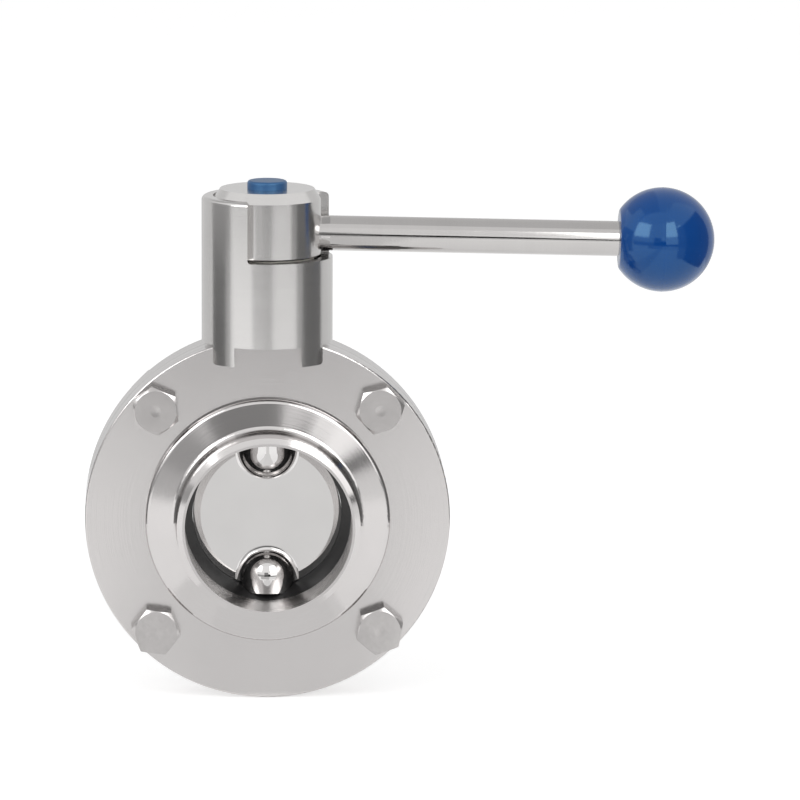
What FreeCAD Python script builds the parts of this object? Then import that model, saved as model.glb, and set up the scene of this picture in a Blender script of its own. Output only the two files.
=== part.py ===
import FreeCAD, Part
import math
import os

import Sketcher

# A manual butterfly valve for sanitary pipework, with weld ends and a ball-knob lever.
# Millimetres. The origin is the centre of the inlet weld end's face. +Y is the way through the
# valve to the outlet, +Z runs up the stem, and the lever points along +X with the disc closed.

doc = FreeCAD.newDocument("butterfly_valve")
size = doc.addObject("Spreadsheet::Sheet", "size")

# Driving dimensions: name, value, meaning.
DIMENSIONS = [
    ("tube_outer", 51.0, "outside diameter of both weld ends"),
    ("tube_wall", 2.2, "wall of both weld ends"),
    ("face_to_face", 52.0, "length from one weld end's face to the other"),
    ("end_slope_width", 1.5, "width of the slope round each weld end's face"),
    ("end_slope_depth", 0.55, "depth of that slope at the weld end's outer edge"),
    ("collar_width", 8.7, "width of the raised collar round each weld end"),
    ("flange_ledge", 16.8, "width of each flange's flat face outside its collar"),
    ("flange_half", 10.0, "thickness of one flange"),
    ("flange_round", 0.5, "rounding of the outer edge of each flange"),
    ("parting_bevel", 0.2, "bevel where the two flanges meet"),
    ("collar_step", 3.0, "height of the raised collar over the flange"),
    ("collar_round", 1.3, "rounding of the raised collar's edge"),
    ("collar_rise", 1.6, "rise of the collar's sloping face towards the weld end"),
    ("root_round", 1.8, "hollow rounding between the sloping face and the weld end"),
    ("bolt_inset", 6.8, "distance from the flanges' edge in to a body bolt's axis"),
    ("bolt_outer", 8.0, "thread diameter of the body bolts"),
    ("bolt_clear", 0.5, "gap all round a body bolt in its flange hole"),
    ("hex_flats", 12.0, "width across flats of the body bolts and nuts"),
    ("head_height", 5.3, "height of a body bolt's head"),
    ("nut_height", 6.8, "height of a body nut"),
    ("bolt_past_nut", 3.0, "length of a body bolt past its nut"),
    ("seal_rise", 2.4, "height of the seat seal over the bore's wall"),
    ("seal_wall", 8.6, "thickness of the seat seal's ring"),
    ("seal_width", 18.8, "width of the seat seal along the pipe"),
    ("seal_land", 4.4, "width of the straight middle of the seat seal's bore"),
    ("rim_gap", 0.08, "gap between the disc's rim and the seat seal"),
    ("disc_thick", 4.4, "thickness of the disc's flat face"),
    ("rim_slope", 2.12, "width of the slope between the disc's flat face and its rim"),
    ("rim_thick", 3.6, "thickness of the disc's rim"),
    ("boss_outer", 15.5, "diameter of the disc's two stem bosses"),
    ("boss_sink", 1.0, "depth that the stem bosses reach into the seat seal"),
    ("boss_collar", 3.95, "length of the straight part of a stem boss, before its round end"),
    ("boss_blend", 2.2, "hollow rounding between the stem bosses and the disc's flat face"),
    ("stem_outer", 10.0, "diameter of the stem"),
    ("stem_flats", 8.0, "width across flats of the stem's square end"),
    ("square_below", 3.0, "length of the stem's square end below the handle hub"),
    ("end_bevel", 0.5, "bevel on the ends of the stem, the screws and the lever rod"),
    ("sleeve_wall", 1.5, "wall of the two stem bushings in the body"),
    ("lower_depth", 14.0, "depth of the lower stem bushing below the seat seal"),
    ("cup_floor", 1.5, "floor of the lower stem bushing"),
    ("bushing_short", 1.0, "distance from the flange's top down to the upper bushing"),
    ("bonnet_outer", 36.6, "outside diameter of the bonnet"),
    ("bonnet_wall", 3.2, "wall of the bonnet"),
    ("bonnet_height", 38.9, "height of the bonnet over the top of the flange"),
    ("bonnet_round", 1.2, "rounding of the bonnet's top edge"),
    ("bonnet_floor", 6.0, "thickness of the bonnet's inner floor"),
    ("pocket_depth", 17.9, "depth of the bonnet's pocket for the handle hub"),
    ("notch_lip", 0.9, "height of the open quarter's floor over the pocket's floor"),
    ("notch_side", 0.9, "gap between the lever and each end of the open quarter"),
    ("notch_round", 1.0, "inner rounding at the two lower corners of the open quarter"),
    ("leg_reach", 7.2, "length of the bonnet's legs below the top of the flange"),
    ("leg_spacing", 18.8, "distance between the two legs on one side"),
    ("window_drop", 1.8, "distance from the flange's top down to the edge between the legs"),
    ("leg_round", 0.9, "rounding of each leg's lower outer corner"),
    ("straddle_gap", 0.1, "gap between the bonnet's legs and each flange face"),
    ("thrust_thick", 1.2, "thickness of the bonnet bushing's collar"),
    ("thrust_clear", 2.1, "gap between the bonnet bushing's collar and the bonnet's wall"),
    ("guide_wall", 2.5, "wall of the bonnet bushing's sleeve"),
    ("hub_height", 18.6, "height of the handle hub"),
    ("hub_slope_height", 2.8, "height of the slope round the handle hub's top"),
    ("hub_slope_width", 1.9, "width of the slope round the handle hub's top"),
    ("hub_bevel", 0.4, "bevel on the handle hub's lower edge"),
    ("screw_recess", 9.0, "depth of the screw recess in the handle hub"),
    ("head_clear", 0.85, "gap all round the hub screw's head in its recess"),
    ("screw_web", 2.5, "thickness of the handle hub between the recess and the stem"),
    ("stem_short", 0.5, "gap between that web and the stem's end"),
    ("screw_outer", 5.0, "thread diameter of the hub screw"),
    ("screw_length", 16.0, "length of the hub screw under its head"),
    ("screw_head", 8.5, "diameter of the hub screw's head"),
    ("screw_head_height", 4.6, "height of the hub screw's head"),
    ("key_flats", 4.0, "width across flats of the hub screw's hexagon socket"),
    ("key_depth", 2.5, "depth of the hub screw's hexagon socket"),
    ("screw_spare", 1.0, "spare depth of the thread below the hub screw"),
    ("washer_thick", 1.0, "thickness of the hub screw's washer"),
    ("plug_lip", 0.45, "width of the screw cover's rim over the edge of the recess"),
    ("plug_height", 2.2, "height of the screw cover over the handle hub"),
    ("plug_round", 0.8, "rounding of the screw cover's top edge"),
    ("plug_clear", 0.8, "gap between the hub screw's head and the screw cover"),
    ("rod_outer", 9.8, "diameter of the lever rod"),
    ("neck_drop", 0.25, "narrowing of the lever rod towards the handle hub, on its radius"),
    ("thread_drop", 0.65, "step from that narrow end to the rod's threads, on the radius"),
    ("rod_taper", 2.4, "length of the taper at the handle hub"),
    ("rod_seat_depth", 1.1, "depth of the flat seat that the lever rod beds on in the hub"),
    ("rod_grip", 5.4, "length of lever rod thread in the handle hub"),
    ("lever_clear", 1.35, "least gap between the lever and the open quarter's floor"),
    ("lever_droop", 1.25, "angle in degrees that the lever hangs below level"),
    ("lever_reach", 110.4, "distance from the stem's axis to the ball knob's centre"),
    ("knob_outer", 29.2, "diameter of the ball knob"),
    ("knob_trim", 2.5, "depth that the ball knob's flat face is cut back"),
    ("knob_grip", 12.5, "length of lever rod thread in the ball knob's insert"),
    ("insert_wall", 2.0, "wall of the threaded insert"),
    ("insert_floor", 2.5, "thickness of the threaded insert's closed end"),
    ("insert_cover", 0.8, "thickness of the ball knob's face over the insert's open end"),
    ("running_gap", 0.05, "gap all round each piece that turns in another"),
    ("fit_gap", 0.03, "gap all round each piece that is fitted and stays still"),
]

for row, (alias, value, meaning) in enumerate(DIMENSIONS, start=1):
    size.set(f"A{row}", alias)
    size.set(f"B{row}", str(value))
    size.setAlias(f"B{row}", alias)
    size.set(f"C{row}", meaning)
doc.recompute()

# Heights and places that follow from the driving dimensions, as terms for expressions.
MID = "(size.face_to_face / 2)"
BORE_RADIUS = "(size.tube_outer / 2 - size.tube_wall)"
COLLAR_RADIUS = "(size.tube_outer / 2 + size.collar_width)"
COLLAR_FACE = "(size.flange_half + size.collar_step)"
FLANGE_TOP = f"({COLLAR_RADIUS} + size.flange_ledge)"
BOLT_OFFSET = f"(({FLANGE_TOP} - size.bolt_inset) * cos(45 deg))"
HEX_CORNER = "(size.hex_flats / 2 / cos(30 deg))"
SEAL_BORE = f"({BORE_RADIUS} - size.seal_rise)"
SEAL_RADIUS = f"({SEAL_BORE} + size.seal_wall)"
SEAL_SHOULDER = "(size.seal_width / 2 + size.fit_gap)"
STEM_BORE = "(size.stem_outer / 2 + size.running_gap)"
SLEEVE_RADIUS = "(size.stem_outer / 2 + size.running_gap + size.sleeve_wall)"
LOWER_END = f"({SEAL_RADIUS} + size.fit_gap + size.lower_depth)"
BOSS_RADIUS = "(size.boss_outer / 2)"
BOSS_END = f"({SEAL_BORE} + size.boss_sink)"
BOSS_MIDDLE = f"({BOSS_END} - size.boss_collar)"
DISC_RADIUS = f"({SEAL_BORE} - size.rim_gap)"
DISC_FACE = f"({DISC_RADIUS} - size.rim_slope)"
BONNET_RADIUS = "(size.bonnet_outer / 2)"
BONNET_BORE = f"({BONNET_RADIUS} - size.bonnet_wall)"
BONNET_TOP = f"({FLANGE_TOP} + size.bonnet_height)"
POCKET_FLOOR = f"({BONNET_TOP} - size.pocket_depth)"
NOTCH_FLOOR = f"({POCKET_FLOOR} + size.notch_lip)"
NOTCH_REACH = "(size.rod_outer / 2 + size.notch_side)"
LEG_END = f"({FLANGE_TOP} - size.leg_reach)"
WINDOW_EDGE = f"({FLANGE_TOP} - size.window_drop)"
STRADDLE = "(size.flange_half + size.straddle_gap)"
THRUST_RADIUS = f"({BONNET_BORE} - size.thrust_clear)"
HUB_RADIUS = f"({BONNET_BORE} - size.running_gap)"
HUB_BASE = f"({POCKET_FLOOR} + size.thrust_thick + size.running_gap)"
HUB_TOP = f"({HUB_BASE} + size.hub_height)"
RECESS_RADIUS = "(size.screw_head / 2 + size.head_clear)"
SCREW_SEAT = f"({HUB_TOP} - size.screw_recess)"
SOCKET_END = f"({SCREW_SEAT} - size.screw_web)"
STEM_TOP = f"({SOCKET_END} - size.stem_short)"
SQUARE_START = f"({HUB_BASE} - size.square_below)"
SCREW_TOP = f"({SCREW_SEAT} + size.washer_thick)"
SCREW_END = f"({SCREW_TOP} - size.screw_length)"
HEAD_TOP = f"({SCREW_TOP} + size.screw_head_height)"
PLUG_RADIUS = f"({RECESS_RADIUS} + size.plug_lip)"
LEVER_HEIGHT = (
    f"({NOTCH_FLOOR} + size.lever_clear + size.rod_outer / 2"
    f" + {BONNET_RADIUS} * tan(size.lever_droop * 1 deg))"
)
ROD_SEAT = f"({HUB_RADIUS} - size.rod_seat_depth)"
ROD_NECK = "(size.rod_outer / 2 - size.neck_drop)"
ROD_THREAD = f"({ROD_NECK} - size.thread_drop)"
KNOB_FLAT = "(size.knob_outer / 2 - size.knob_trim)"
KNOB_FACE = f"(size.lever_reach - {KNOB_FLAT})"
INSERT_RADIUS = f"({ROD_THREAD} + size.insert_wall)"
INSERT_START = f"({KNOB_FACE} + size.insert_cover)"
INSERT_END = f"({KNOB_FACE} + size.knob_grip + size.insert_floor)"

# The number by which a sketch knows its own origin, and how far a cut runs past a piece.
ORIGIN = (-1, 1)
CLEAR_PAST = 5.0


terms = doc.addObject("App::FeaturePython", "terms")


def number(term):
    """The present value of a term, as a plain number."""
    return float(terms.evalExpression(term))


def new_body(label):
    """A new body, named for its piece and centred on the bore's middle."""
    body = doc.addObject("PartDesign::Body", label)
    body.Label = label
    body.setExpression("Placement.Base.y", MID)
    return body


def base_plane(body, role):
    """One of the body's own origin planes or axes."""
    for item in body.Origin.OriginFeatures:
        if item.Role == role:
            return item
    raise ValueError(role)


def new_sketch(body, name, role, height=None):
    """An empty sketch on an origin plane, raised by a height if one is given."""
    sketch = body.newObject("Sketcher::SketchObject", name)
    sketch.AttachmentSupport = [(base_plane(body, role), "")]
    sketch.MapMode = "FlatFace"
    if height is not None:
        sketch.setExpression("AttachmentOffset.Base.z", height)
    return sketch


def pin_point(sketch, shape, end, across, up):
    """Hold one point of the sketch at a place given in terms of the sheet."""
    tag = f"{shape}_{end}"
    if across == "0":
        sketch.addConstraint(Sketcher.Constraint("Vertical", *ORIGIN, shape, end))
    else:
        rule = Sketcher.Constraint("DistanceX", *ORIGIN, shape, end, number(across))
        sketch.renameConstraint(sketch.addConstraint(rule), f"across_{tag}")
        sketch.setExpression(f"Constraints.across_{tag}", across)
    if up == "0":
        sketch.addConstraint(Sketcher.Constraint("Horizontal", *ORIGIN, shape, end))
    else:
        rule = Sketcher.Constraint("DistanceY", *ORIGIN, shape, end, number(up))
        sketch.renameConstraint(sketch.addConstraint(rule), f"up_{tag}")
        sketch.setExpression(f"Constraints.up_{tag}", up)


def draw_outline(sketch, corners):
    """A closed outline. A corner is (across, up), with the middle of the arc that leads on."""
    first = sketch.GeometryCount
    places = [FreeCAD.Vector(number(c[0]), number(c[1]), 0) for c in corners]
    ends = []
    for index, corner in enumerate(corners):
        here = places[index]
        there = places[(index + 1) % len(places)]
        if len(corner) == 2:
            sketch.addGeometry(Part.LineSegment(here, there))
            ends.append((1, 2))
            continue
        middle = FreeCAD.Vector(number(corner[2][0]), number(corner[2][1]), 0)
        arm_here = here - middle
        arm_there = there - middle
        leftward = arm_here.cross(arm_there).z > 0
        if not leftward:
            arm_here, arm_there = arm_there, arm_here
        circle = Part.Circle(middle, FreeCAD.Vector(0, 0, 1), arm_here.Length)
        turn_start = math.atan2(arm_here.y, arm_here.x)
        turn_end = math.atan2(arm_there.y, arm_there.x)
        sketch.addGeometry(Part.ArcOfCircle(circle, turn_start, turn_end))
        ends.append((1, 2) if leftward else (2, 1))
    for index, corner in enumerate(corners):
        following = (index + 1) % len(corners)
        link = (first + index, ends[index][1], first + following, ends[following][0])
        sketch.addConstraint(Sketcher.Constraint("Coincident", *link))
    for index, corner in enumerate(corners):
        pin_point(sketch, first + index, ends[index][0], corner[0], corner[1])
        if len(corner) == 3:
            hold_arc_middle(sketch, first + index, corner[2][0])


def hold_arc_middle(sketch, shape, across):
    """Hold an arc's middle at its distance across: with both ends held this fixes the arc."""
    if across == "0":
        sketch.addConstraint(Sketcher.Constraint("Vertical", *ORIGIN, shape, 3))
        return
    rule = Sketcher.Constraint("DistanceX", *ORIGIN, shape, 3, number(across))
    sketch.renameConstraint(sketch.addConstraint(rule), f"middle_{shape}")
    sketch.setExpression(f"Constraints.middle_{shape}", across)


def draw_circle(sketch, radius, across="0", up="0"):
    """A circle whose radius and centre follow the sheet."""
    shape = sketch.GeometryCount
    centre = FreeCAD.Vector(number(across), number(up), 0)
    sketch.addGeometry(Part.Circle(centre, FreeCAD.Vector(0, 0, 1), number(radius)))
    if across == "0" and up == "0":
        sketch.addConstraint(Sketcher.Constraint("Coincident", shape, 3, *ORIGIN))
    else:
        pin_point(sketch, shape, 3, across, up)
    rule = Sketcher.Constraint("Radius", shape, number(radius))
    sketch.renameConstraint(sketch.addConstraint(rule), f"radius_{shape}")
    sketch.setExpression(f"Constraints.radius_{shape}", radius)


def hexagon_corners(corner_radius):
    """The six corners of a hexagon about the sketch's origin."""
    corners = []
    for step in range(6):
        turn = f"{60 * step} deg"
        corners.append((f"{corner_radius} * cos({turn})", f"{corner_radius} * sin({turn})"))
    return corners


def box_corners(left, right, low, high):
    """The four corners of an upright rectangle."""
    return [(left, low), (right, low), (right, high), (left, high)]


def volume_of(body):
    """The volume of the body so far, which is nothing before its first feature."""
    return 0.0 if body.Shape.isNull() else body.Shape.Volume


def check_change(feature, before, remove):
    """Stop if a feature that adds or takes away has done nothing."""
    change = feature.Shape.Volume - before
    if (change >= 0) == remove or change == 0:
        raise RuntimeError(f"{feature.Label} changed the volume by {change}")


def turn_solid(body, name, role, axis, corners, remove=False, height=None):
    """Turn an outline round a sketch axis, adding to the body or taking away from it."""
    sketch = new_sketch(body, name + "_outline", role, height)
    draw_outline(sketch, corners)
    kind = "PartDesign::Groove" if remove else "PartDesign::Revolution"
    before = volume_of(body)
    feature = body.newObject(kind, name)
    feature.Profile = sketch
    feature.ReferenceAxis = (sketch, [axis])
    feature.Angle = 360.0
    doc.recompute()
    check_change(feature, before, remove)
    return feature


def push_solid(body, name, sketch, length, remove=False, both_ways=False, backwards=False):
    """Push a sketch through a length, adding to the body or taking away from it."""
    kind = "PartDesign::Pocket" if remove else "PartDesign::Pad"
    before = volume_of(body)
    feature = body.newObject(kind, name)
    feature.Profile = sketch
    feature.setExpression("Length", length)
    feature.Midplane = both_ways
    feature.Reversed = backwards
    doc.recompute()
    check_change(feature, before, remove)
    return feature


def alike(one, other):
    """Whether two lengths are the same, apart from rounding."""
    return math.isclose(one, other, abs_tol=ROUNDING)


def ring_edges(feature, axis, radius, level):
    """Names of the feature's round edges about an axis, at one radius and one level."""
    names = []
    for index, edge in enumerate(feature.Shape.Edges, start=1):
        curve = edge.Curve
        if not isinstance(curve, Part.Circle):
            continue
        same_size = alike(curve.Radius, number(radius))
        same_level = alike(curve.Center.dot(axis), number(level))
        if same_size and same_level and alike(abs(curve.Axis.dot(axis)), 1):
            names.append(f"Edge{index}")
    if not names:
        raise ValueError(f"no round edge at {radius}, {level}")
    return names


def dress_edges(body, kind, name, edges, amount):
    """A fillet or a chamfer on named edges of the body's last feature."""
    base = body.Tip
    feature = body.newObject("PartDesign::" + kind, name)
    feature.Base = (base, edges)
    feature.setExpression("Radius" if kind == "Fillet" else "Size", amount)
    doc.recompute()
    return feature


ALONG_PIPE = FreeCAD.Vector(0, 1, 0)
UP_STEM = FreeCAD.Vector(0, 0, 1)
ROUNDING = 0.001


def make_body_half(label, side):
    """One flanged half of the body. The side is "-" for the inlet and "" for the outlet."""
    body = new_body(label)
    far = f"{side}{MID}"
    collar_top = f"{side}({COLLAR_FACE} + size.collar_rise)"
    corners = [
        (BORE_RADIUS, far),
        ("size.tube_outer / 2 - size.end_slope_width", far),
        ("size.tube_outer / 2", f"{side}({MID} - size.end_slope_depth)"),
        ("size.tube_outer / 2", collar_top),
        (COLLAR_RADIUS, f"{side}{COLLAR_FACE}"),
        (COLLAR_RADIUS, f"{side}size.flange_half"),
        (FLANGE_TOP, f"{side}size.flange_half"),
        (FLANGE_TOP, f"{side}size.parting_bevel"),
        (f"{FLANGE_TOP} - size.parting_bevel", "0"),
        (f"{SEAL_RADIUS} + size.fit_gap", "0"),
        (f"{SEAL_RADIUS} + size.fit_gap", f"{side}{SEAL_SHOULDER}"),
        (BORE_RADIUS, f"{side}{SEAL_SHOULDER}"),
    ]
    turn_solid(body, label + "_shell", "XY_Plane", "V_Axis", corners)

    edges = ring_edges(body.Tip, ALONG_PIPE, FLANGE_TOP, f"{side}size.flange_half")
    dress_edges(body, "Fillet", label + "_flange_edge", edges, "size.flange_round")
    edges = ring_edges(body.Tip, ALONG_PIPE, COLLAR_RADIUS, f"{side}{COLLAR_FACE}")
    dress_edges(body, "Fillet", label + "_collar_edge", edges, "size.collar_round")
    edges = ring_edges(body.Tip, ALONG_PIPE, "size.tube_outer / 2", collar_top)
    dress_edges(body, "Fillet", label + "_root", edges, "size.root_round")

    hole = new_sketch(body, label + "_bolt_hole_outline", "XZ_Plane")
    draw_circle(hole, "size.bolt_outer / 2 + size.bolt_clear", BOLT_OFFSET, BOLT_OFFSET)
    through = f"2 * (size.flange_half + {CLEAR_PAST})"
    one_hole = push_solid(body, label + "_bolt_hole", hole, through, remove=True, both_ways=True)
    ring = body.newObject("PartDesign::PolarPattern", label + "_bolt_holes")
    ring.Originals = [one_hole]
    ring.Axis = (base_plane(body, "Y_Axis"), [""])
    ring.Angle = 360.0
    ring.Occurrences = 4
    body.Tip = ring
    doc.recompute()

    bore = new_sketch(body, label + "_upper_bore_outline", "XY_Plane")
    draw_circle(bore, f"{SLEEVE_RADIUS} + size.fit_gap")
    reach = f"{FLANGE_TOP} + {CLEAR_PAST}"
    push_solid(body, label + "_upper_bore", bore, reach, remove=True, backwards=True)
    bore = new_sketch(body, label + "_lower_bore_outline", "XY_Plane")
    draw_circle(bore, f"{SLEEVE_RADIUS} + size.fit_gap")
    reach = f"{LOWER_END} + size.fit_gap"
    push_solid(body, label + "_lower_bore", bore, reach, remove=True)
    return body


def make_seat_seal():
    """The rubber ring between the halves. It slopes in from the bore to a straight middle."""
    body = new_body("seat_seal")
    half = "(size.seal_width / 2)"
    corners = [
        (SEAL_BORE, "-size.seal_land / 2"),
        (BORE_RADIUS, f"-{half}"),
        (SEAL_RADIUS, f"-{half}"),
        (SEAL_RADIUS, half),
        (BORE_RADIUS, half),
        (SEAL_BORE, "size.seal_land / 2"),
    ]
    turn_solid(body, "seal_ring", "XY_Plane", "V_Axis", corners)
    recess = new_sketch(body, "seal_recess_outline", "XY_Plane")
    draw_circle(recess, f"{BOSS_RADIUS} + size.running_gap")
    depth = f"2 * ({BOSS_END} + size.running_gap)"
    push_solid(body, "seal_recess", recess, depth, remove=True, both_ways=True)
    hole = new_sketch(body, "seal_hole_outline", "XY_Plane")
    draw_circle(hole, STEM_BORE)
    through = f"2 * ({SEAL_RADIUS} + {CLEAR_PAST})"
    push_solid(body, "seal_hole", hole, through, remove=True, both_ways=True)
    return body


def blend_corners():
    """The hollow rounding that leads from both flat faces of the disc up to a boss's round end."""
    face = "(size.disc_thick / 2)"
    level = f"({face} + size.boss_blend)"
    share = f"({BOSS_RADIUS} / ({BOSS_RADIUS} + size.boss_blend))"
    foot = f"sqrt(({BOSS_RADIUS} + size.boss_blend) ^ 2 - {level} ^ 2)"
    return [
        ("0", f"-{level} * {share}"),
        (f"{foot} * {share}", f"-{level} * {share}", (foot, f"-{level}")),
        (foot, f"-{face}"),
        (foot, face, (foot, level)),
        (f"{foot} * {share}", f"{level} * {share}"),
        ("0", f"{level} * {share}"),
    ]


def boss_corners(side):
    """The round-ended boss and its shaft as far as the shaft's plain end, to one side."""
    return [
        ("0", f"{side}({BOSS_MIDDLE} - {BOSS_RADIUS})", ("0", f"{side}{BOSS_MIDDLE}")),
        (BOSS_RADIUS, f"{side}{BOSS_MIDDLE}"),
        (BOSS_RADIUS, f"{side}{BOSS_END}"),
        ("size.stem_outer / 2", f"{side}{BOSS_END}"),
    ]


def make_disc_and_stem():
    """The disc with its stem above and its short trunnion below, all one piece."""
    body = new_body("disc_and_stem")
    core = box_corners("0", f"{DISC_FACE} / 2", "-size.rim_thick / 2", "size.rim_thick / 2")
    turn_solid(body, "disc_core", "XY_Plane", "V_Axis", core)
    for place, side in (("upper", ""), ("lower", "-")):
        height = f"{side}{BOSS_MIDDLE}"
        turn_solid(body, place + "_blend", "XY_Plane", "V_Axis", blend_corners(), height=height)

    # The blends are cut to a ball that fits in the seat seal, so that they clear it at any angle.
    ball = f"({DISC_RADIUS} - size.rim_gap)"
    half = "(size.disc_thick / 2 + size.boss_blend)"
    edge = f"sqrt({ball} ^ 2 - {half} ^ 2)"
    outside = [
        (edge, f"-{half}", ("0", "0")),
        (edge, half),
        (f"2 * {DISC_RADIUS}", half),
        (f"2 * {DISC_RADIUS}", f"-{half}"),
    ]
    turn_solid(body, "blend_trim", "XY_Plane", "V_Axis", outside, remove=True)

    plate = [
        ("0", "-size.disc_thick / 2"),
        (DISC_FACE, "-size.disc_thick / 2"),
        (DISC_RADIUS, "-size.rim_thick / 2"),
        (DISC_RADIUS, "size.rim_thick / 2"),
        (DISC_FACE, "size.disc_thick / 2"),
        ("0", "size.disc_thick / 2"),
    ]
    turn_solid(body, "disc_plate", "XY_Plane", "V_Axis", plate)

    upper = boss_corners("") + [
        ("size.stem_outer / 2", f"{STEM_TOP} - size.end_bevel"),
        ("size.stem_outer / 2 - size.end_bevel", STEM_TOP),
        ("0", STEM_TOP),
    ]
    turn_solid(body, "upper_stem", "XZ_Plane", "V_Axis", upper)
    trunnion_end = f"({LOWER_END} - size.cup_floor - size.running_gap)"
    lower = boss_corners("-") + [
        ("size.stem_outer / 2", f"-({trunnion_end} - size.end_bevel)"),
        ("size.stem_outer / 2 - size.end_bevel", f"-{trunnion_end}"),
        ("0", f"-{trunnion_end}"),
    ]
    turn_solid(body, "lower_trunnion", "XZ_Plane", "V_Axis", lower)

    flats = new_sketch(body, "square_outline", "XY_Plane", SQUARE_START)
    draw_circle(flats, "size.stem_outer")
    half = "size.stem_flats / 2"
    draw_outline(flats, box_corners(f"-{half}", half, f"-{half}", half))
    length = f"{STEM_TOP} - {SQUARE_START}"
    push_solid(body, "square_end", flats, length, remove=True, backwards=True)

    thread = new_sketch(body, "stem_thread_outline", "XY_Plane", STEM_TOP)
    draw_circle(thread, "size.screw_outer / 2 + size.fit_gap")
    push_solid(body, "stem_thread", thread, f"{STEM_TOP} - {SCREW_END} + size.screw_spare", remove=True)
    return body


def make_upper_bushing():
    """The plain sleeve that guides the stem in the top of the body."""
    body = new_body("upper_stem_bushing")
    low = f"({SEAL_RADIUS} + size.fit_gap)"
    high = f"({FLANGE_TOP} - size.bushing_short)"
    corners = box_corners(STEM_BORE, SLEEVE_RADIUS, low, high)
    turn_solid(body, "upper_sleeve", "XZ_Plane", "V_Axis", corners)
    return body


def make_lower_bushing():
    """The blind cup that the lower trunnion turns in."""
    body = new_body("lower_trunnion_bushing")
    mouth = f"-({SEAL_RADIUS} + size.fit_gap)"
    floor = f"-({LOWER_END} - size.cup_floor)"
    corners = [
        ("0", f"-{LOWER_END}"),
        (SLEEVE_RADIUS, f"-{LOWER_END}"),
        (SLEEVE_RADIUS, mouth),
        (STEM_BORE, mouth),
        (STEM_BORE, floor),
        ("0", floor),
    ]
    turn_solid(body, "lower_cup", "XZ_Plane", "V_Axis", corners)
    return body


def make_bonnet():
    """The column on the flanges: four legs astride them, and a pocket with an open quarter."""
    body = new_body("bonnet")
    guide = f"({STEM_BORE} + size.guide_wall + size.fit_gap)"
    corners = [
        (BONNET_RADIUS, LEG_END),
        (BONNET_RADIUS, BONNET_TOP),
        (BONNET_BORE, BONNET_TOP),
        (BONNET_BORE, POCKET_FLOOR),
        (guide, POCKET_FLOOR),
        (guide, f"{POCKET_FLOOR} - size.bonnet_floor"),
        (BONNET_BORE, f"{POCKET_FLOOR} - size.bonnet_floor"),
        (BONNET_BORE, LEG_END),
    ]
    turn_solid(body, "column", "XZ_Plane", "V_Axis", corners)
    edges = ring_edges(body.Tip, UP_STEM, BONNET_RADIUS, BONNET_TOP)
    dress_edges(body, "Fillet", "column_top", edges, "size.bonnet_round")

    saddle = new_sketch(body, "saddle_outline", "XZ_Plane")
    draw_circle(saddle, f"{FLANGE_TOP} + size.fit_gap")
    push_solid(body, "saddle", saddle, f"2 * {STRADDLE}", remove=True, both_ways=True)

    low = f"{LEG_END} - {CLEAR_PAST}"
    across = f"size.bonnet_outer + {CLEAR_PAST}"
    window = new_sketch(body, "window_outline", "XZ_Plane")
    half = "size.leg_spacing / 2"
    draw_outline(window, box_corners(f"-{half}", half, low, WINDOW_EDGE))
    push_solid(body, "window", window, across, remove=True, both_ways=True)
    side = new_sketch(body, "side_window_outline", "YZ_Plane")
    draw_outline(side, box_corners(f"-{STRADDLE}", STRADDLE, low, WINDOW_EDGE))
    push_solid(body, "side_window", side, across, remove=True, both_ways=True)

    leg_side = f"(sqrt({BONNET_RADIUS} ^ 2 - {STRADDLE} ^ 2))"
    for side in ("-", ""):
        corner = new_sketch(body, "leg_corner_outline", "XZ_Plane")
        past = f"{side}({leg_side} + {CLEAR_PAST})"
        shoulder = f"{side}({leg_side} - size.leg_round)"
        draw_outline(corner, [
            (shoulder, LEG_END, (shoulder, f"{LEG_END} + size.leg_round")),
            (f"{side}{leg_side}", f"{LEG_END} + size.leg_round"),
            (past, f"{LEG_END} + size.leg_round"),
            (past, f"{LEG_END} - {CLEAR_PAST}"),
            (shoulder, f"{LEG_END} - {CLEAR_PAST}"),
        ])
        push_solid(body, "leg_corner", corner, across, remove=True, both_ways=True)

    notch_top = f"{BONNET_TOP} + {CLEAR_PAST}"
    outside = f"({BONNET_RADIUS} + {CLEAR_PAST})"
    front = new_sketch(body, "front_notch_outline", "XZ_Plane")
    turn = f"-{NOTCH_REACH} + size.notch_round"
    draw_outline(front, [
        (f"-{NOTCH_REACH}", f"{NOTCH_FLOOR} + size.notch_round",
         (turn, f"{NOTCH_FLOOR} + size.notch_round")),
        (turn, NOTCH_FLOOR),
        (outside, NOTCH_FLOOR),
        (outside, notch_top),
        (f"-{NOTCH_REACH}", notch_top),
    ])
    push_solid(body, "front_notch", front, outside, remove=True, backwards=True)
    right = new_sketch(body, "right_notch_outline", "YZ_Plane")
    turn = f"{NOTCH_REACH} - size.notch_round"
    draw_outline(right, [
        (turn, NOTCH_FLOOR, (turn, f"{NOTCH_FLOOR} + size.notch_round")),
        (NOTCH_REACH, f"{NOTCH_FLOOR} + size.notch_round"),
        (NOTCH_REACH, notch_top),
        (f"-{outside}", notch_top),
        (f"-{outside}", NOTCH_FLOOR),
    ])
    push_solid(body, "right_notch", right, outside, remove=True, backwards=True)
    return body


def make_bonnet_bushing():
    """The collared bearing on the bonnet's floor that the handle hub turns on."""
    body = new_body("bonnet_bushing")
    sleeve = f"({STEM_BORE} + size.guide_wall)"
    corners = [
        (STEM_BORE, f"{POCKET_FLOOR} - size.bonnet_floor"),
        (sleeve, f"{POCKET_FLOOR} - size.bonnet_floor"),
        (sleeve, POCKET_FLOOR),
        (THRUST_RADIUS, POCKET_FLOOR),
        (THRUST_RADIUS, f"{POCKET_FLOOR} + size.thrust_thick"),
        (STEM_BORE, f"{POCKET_FLOOR} + size.thrust_thick"),
    ]
    turn_solid(body, "thrust_bearing", "XZ_Plane", "V_Axis", corners)
    return body


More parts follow.
